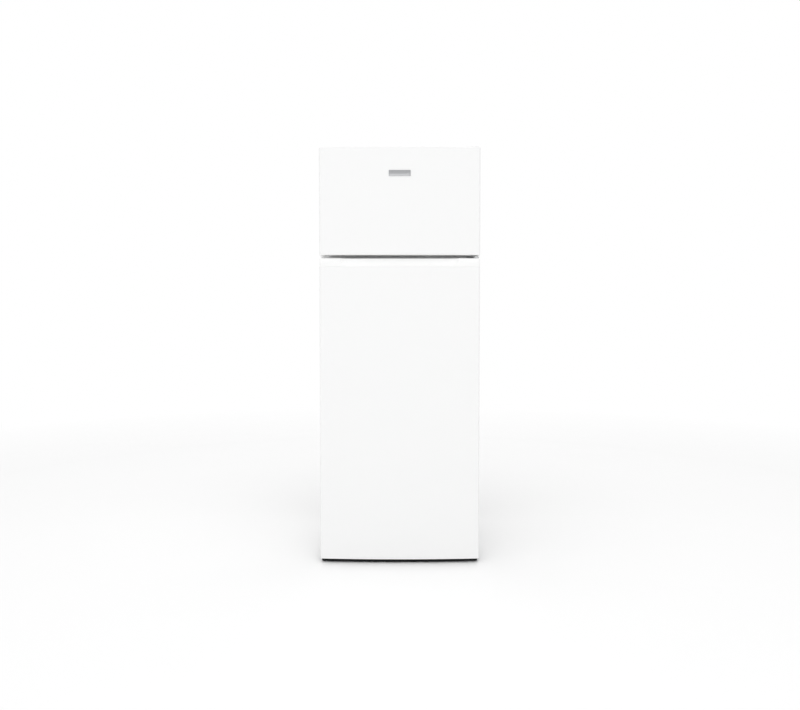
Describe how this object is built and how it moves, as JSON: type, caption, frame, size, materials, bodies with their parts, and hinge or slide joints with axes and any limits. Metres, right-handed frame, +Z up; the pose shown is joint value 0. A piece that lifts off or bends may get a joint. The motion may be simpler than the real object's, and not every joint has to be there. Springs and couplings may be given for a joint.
{
  "type": "top freezer refrigerator",
  "caption": "White free-standing refrigerator with a freezer door above a tall door, softly bowed fronts, a finger recess between them and a low black plinth.",
  "frame": {"origin": "on the floor, under the middle of the object's box", "axes": "+Z up, +X to the viewer's right when facing the doors, -Y is the front"},
  "size_m": [0.55, 0.545, 1.441],
  "materials": {
    "white_paint": "satin",
    "cap_white": "satin",
    "liner_white": "satin",
    "galvanised": "satin",
    "insulation": "matte",
    "rail_grey": "satin",
    "black_plastic": "satin",
    "black_enamel": "satin",
    "black_rubber": "matte",
    "gasket_white": "matte",
    "hinge_steel": "satin",
    "screw_steel": "satin",
    "copper": "satin",
    "evaporator_aluminium": "satin",
    "shelf_glass": "gloss",
    "clear_plastic": "gloss",
    "nylon": "satin",
    "lamp_glass": "gloss",
    "badge_metal": "satin"
  },
  "bodies": {
    "cabinet": {"outer_shell": "white_paint", "back_panel": "galvanised", "cabinet_insulation": "insulation", "bottom_plate": "galvanised", "freezer_liner": "liner_white", "fridge_liner": "liner_white", "crossbar": "rail_grey", "plinth": "black_plastic", "top_hinge": "hinge_steel", "middle_hinge": "hinge_steel", "bottom_hinge": "hinge_steel", "hinge_screws": "screw_steel", "hinge_cover": "cap_white", "compressor_tray": "galvanised", "compressor": "black_enamel", "compressor_grommets": "black_rubber", "evaporation_tray": "nylon", "refrigerant_pipes": "copper", "condenser_tube": "black_enamel", "condenser_wires": "black_enamel", "condenser_spacers": "black_plastic", "cable_gland": "black_rubber", "freezer_evaporator": "evaporator_aluminium", "freezer_shelf": "cap_white", "ice_tray": "clear_plastic", "glass_shelf_1": "shelf_glass", "glass_shelf_2": "shelf_glass", "glass_shelf_3": "shelf_glass", "shelf_trims": "cap_white", "control_housing": "cap_white", "lamp": "lamp_glass", "lamp_cover": "clear_plastic", "roller_axles": "hinge_steel"},
    "freezer_door": {"freezer_door_skin": "white_paint", "freezer_door_insulation": "insulation", "freezer_door_liner": "liner_white", "freezer_door_top_cap": "cap_white", "freezer_door_bottom_cap": "cap_white", "freezer_door_gasket": "gasket_white", "freezer_door_bushes": "nylon", "freezer_door_racks": "clear_plastic", "badge": "badge_metal"},
    "fridge_door": {"fridge_door_skin": "white_paint", "fridge_door_insulation": "insulation", "fridge_door_liner": "liner_white", "fridge_door_top_cap": "cap_white", "fridge_door_bottom_cap": "cap_white", "fridge_door_gasket": "gasket_white", "fridge_door_bushes": "nylon", "fridge_door_racks": "clear_plastic", "bottle_rack": "clear_plastic", "egg_tray": "clear_plastic"},
    "bottle_clip": {"bottle_retainer": "cap_white"},
    "crisper": {"crisper_drawer": "clear_plastic"},
    "knob": {"thermostat_knob": "cap_white"},
    "plunger": {"light_switch_plunger": "nylon"},
    "left_foot": {"front_foot_left": "black_plastic"},
    "right_foot": {"front_foot_right": "black_plastic"},
    "left_roller": {"rear_roller_left": "black_plastic"},
    "right_roller": {"rear_roller_right": "black_plastic"}
  },
  "joints": [
    {"name": "freezer_door_hinge", "type": "hinge", "parent": "cabinet", "child": "freezer_door", "pos_m": [0.263, -0.235, 1.2], "axis": [0, 0, 1], "range_deg": [0, 120]},
    {"name": "fridge_door_hinge", "type": "hinge", "parent": "cabinet", "child": "fridge_door", "pos_m": [0.263, -0.235, 0.5], "axis": [0, 0, 1], "range_deg": [0, 120]},
    {"name": "crisper_slide", "type": "slide", "parent": "cabinet", "child": "crisper", "axis": [0, -1, 0], "range_m": [0, 0.03]},
    {"name": "bottle_clip_slide", "type": "slide", "parent": "fridge_door", "child": "bottle_clip", "axis": [1, 0, 0], "range_m": [-0.15, 0.15]},
    {"name": "thermostat_turn", "type": "hinge", "parent": "cabinet", "child": "knob", "pos_m": [0.045, -0.075, 1.007], "axis": [0, -1, 0], "range_deg": [0, 300]},
    {"name": "light_switch_travel", "type": "slide", "parent": "cabinet", "child": "plunger", "axis": [0, -1, 0], "range_m": [0, 0.006]},
    {"name": "left_foot_turn", "type": "hinge", "parent": "cabinet", "child": "left_foot", "pos_m": [-0.205, -0.15, 0.01], "axis": [0, 0, 1], "continuous": true},
    {"name": "right_foot_turn", "type": "hinge", "parent": "cabinet", "child": "right_foot", "pos_m": [0.205, -0.15, 0.01], "axis": [0, 0, 1], "continuous": true},
    {"name": "left_roller_turn", "type": "hinge", "parent": "cabinet", "child": "left_roller", "pos_m": [-0.225, 0.215, 0.016], "axis": [1, 0, 0], "continuous": true},
    {"name": "right_roller_turn", "type": "hinge", "parent": "cabinet", "child": "right_roller", "pos_m": [0.225, 0.215, 0.016], "axis": [1, 0, 0], "continuous": true}
  ],
  "couplings": [
    {"joint": "light_switch_travel", "follows": "fridge_door_hinge", "m_per_rad": 0.0028}
  ]
}
